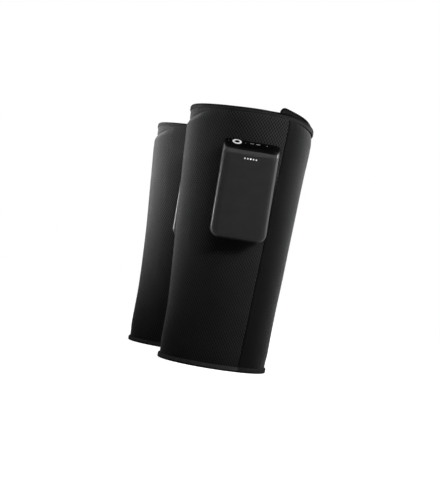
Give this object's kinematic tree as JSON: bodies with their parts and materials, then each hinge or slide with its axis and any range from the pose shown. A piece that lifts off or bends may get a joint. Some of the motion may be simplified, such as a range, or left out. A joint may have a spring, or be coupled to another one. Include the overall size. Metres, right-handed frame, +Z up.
{
  "type": "compression therapy pump",
  "caption": "Cordless calf compression sleeves: tapered padded wraps with a hinged closure flap, each with a battery air pump unit and push buttons on its front.",
  "frame": {"origin": "centre of the pair's footprint on the floor", "axes": "+Z up, -Y towards the side with the pump units, +X towards the closure flaps"},
  "size_m": [0.1774, 0.3578, 0.2876],
  "materials": {
    "cover_mesh": "matte black spacer mesh with a fine staggered dot texture",
    "flap_knit": "smooth black knit with a soft sheen",
    "binding_tape": "black woven binding tape",
    "lining_knit": "soft black lining knit",
    "air_cell_film": "coated nylon air cell, filled with air",
    "loop_pile": "black loop pile with fine ribs",
    "hook_tape": "black hook tape",
    "housing_matte": "soft matte dark grey",
    "plate_plastic": "plain moulded",
    "band_gloss": "glossy dark grey",
    "panel_gloss": "piano black",
    "button_gloss": "piano black",
    "ring_silver": "bright plated",
    "light_clear": "clear light pipe",
    "board_laminate": "solder mask",
    "battery_can": "foil",
    "motor_steel": "plated can",
    "head_plastic": "plain moulded",
    "rotor_plastic": "plain moulded",
    "valve_metal": "plain",
    "tube_silicone": "translucent silicone",
    "port_steel": "plated",
    "screw_steel": "blackened"
  },
  "bodies": {
    "right_wrap": {"right_outer_cover": "cover_mesh", "right_inner_lining": "lining_knit", "right_lower_air_cell": "air_cell_film", "right_upper_air_cell": "air_cell_film", "right_loop_tongue": "loop_pile", "right_top_binding": "binding_tape", "right_bottom_binding": "binding_tape", "right_mounting_plate": "plate_plastic", "right_rear_cover": "housing_matte", "right_front_cover": "housing_matte", "right_trim_band": "band_gloss", "right_top_panel": "panel_gloss", "right_power_ring": "ring_silver", "right_light_pipes": "light_clear", "right_circuit_board": "board_laminate", "right_key_board": "board_laminate", "right_battery": "battery_can", "right_pump_motor": "motor_steel", "right_pump_head": "head_plastic", "right_air_valves": "valve_metal", "right_air_tubes": "tube_silicone", "right_usb_port": "port_steel", "right_case_screws": "screw_steel"},
    "right_flap": {"right_closure_flap": "flap_knit", "right_flap_binding": "binding_tape", "right_hook_strips": "hook_tape"},
    "right_power_button": {"right_power_button": "button_gloss"},
    "right_level_button": {"right_level_button": "button_gloss"},
    "right_mode_button": {"right_mode_button": "button_gloss"},
    "right_rotor": {"right_pump_rotor": "rotor_plastic"},
    "left_wrap": {"left_outer_cover": "cover_mesh", "left_inner_lining": "lining_knit", "left_lower_air_cell": "air_cell_film", "left_upper_air_cell": "air_cell_film", "left_loop_tongue": "loop_pile", "left_top_binding": "binding_tape", "left_bottom_binding": "binding_tape", "left_mounting_plate": "plate_plastic", "left_rear_cover": "housing_matte", "left_front_cover": "housing_matte", "left_trim_band": "band_gloss", "left_top_panel": "panel_gloss", "left_power_ring": "ring_silver", "left_light_pipes": "light_clear", "left_circuit_board": "board_laminate", "left_key_board": "board_laminate", "left_battery": "battery_can", "left_pump_motor": "motor_steel", "left_pump_head": "head_plastic", "left_air_valves": "valve_metal", "left_air_tubes": "tube_silicone", "left_usb_port": "port_steel", "left_case_screws": "screw_steel"},
    "left_flap": {"left_closure_flap": "flap_knit", "left_flap_binding": "binding_tape", "left_hook_strips": "hook_tape"},
    "left_power_button": {"left_power_button": "button_gloss"},
    "left_level_button": {"left_level_button": "button_gloss"},
    "left_mode_button": {"left_mode_button": "button_gloss"},
    "left_rotor": {"left_pump_rotor": "rotor_plastic"}
  },
  "joints": [
    {"name": "right_flap_hinge", "type": "hinge", "parent": "right_wrap", "child": "right_flap", "pos_m": [0.04898, -0.14205, 0], "axis": [-0.0155, 0.0275, -0.9995], "range_deg": [0, 75]},
    {"name": "right_power_button_press", "type": "slide", "parent": "right_wrap", "child": "right_power_button", "axis": [0, 0.5463, -0.8376], "range_m": [0, 0.0006], "stiffness_N_per_m": 2500},
    {"name": "right_level_button_press", "type": "slide", "parent": "right_wrap", "child": "right_level_button", "axis": [0, 0.5463, -0.8376], "range_m": [0, 0.0006], "stiffness_N_per_m": 2500},
    {"name": "right_mode_button_press", "type": "slide", "parent": "right_wrap", "child": "right_mode_button", "axis": [0, 0.5463, -0.8376], "range_m": [0, 0.0006], "stiffness_N_per_m": 2500},
    {"name": "right_rotor_spin", "type": "hinge", "parent": "right_wrap", "child": "right_rotor", "pos_m": [0.01595, -0.16451, 0.20474], "axis": [1, 0, 0], "continuous": true},
    {"name": "left_flap_hinge", "type": "hinge", "parent": "left_wrap", "child": "left_flap", "pos_m": [0.01238, 0.05425, 0], "axis": [-0.0155, 0.0275, -0.9995], "range_deg": [0, 75]},
    {"name": "left_power_button_press", "type": "slide", "parent": "left_wrap", "child": "left_power_button", "axis": [0, 0.5463, -0.8376], "range_m": [0, 0.0006], "stiffness_N_per_m": 2500},
    {"name": "left_level_button_press", "type": "slide", "parent": "left_wrap", "child": "left_level_button", "axis": [0, 0.5463, -0.8376], "range_m": [0, 0.0006], "stiffness_N_per_m": 2500},
    {"name": "left_mode_button_press", "type": "slide", "parent": "left_wrap", "child": "left_mode_button", "axis": [0, 0.5463, -0.8376], "range_m": [0, 0.0006], "stiffness_N_per_m": 2500},
    {"name": "left_rotor_spin", "type": "hinge", "parent": "left_wrap", "child": "left_rotor", "pos_m": [-0.02065, 0.03179, 0.20474], "axis": [1, 0, 0], "continuous": true},
    {"name": "left_sleeve_move", "type": "slide", "parent": "right_wrap", "child": "left_wrap", "axis": [0, 1, 0], "range_m": [0, 0.15]}
  ]
}
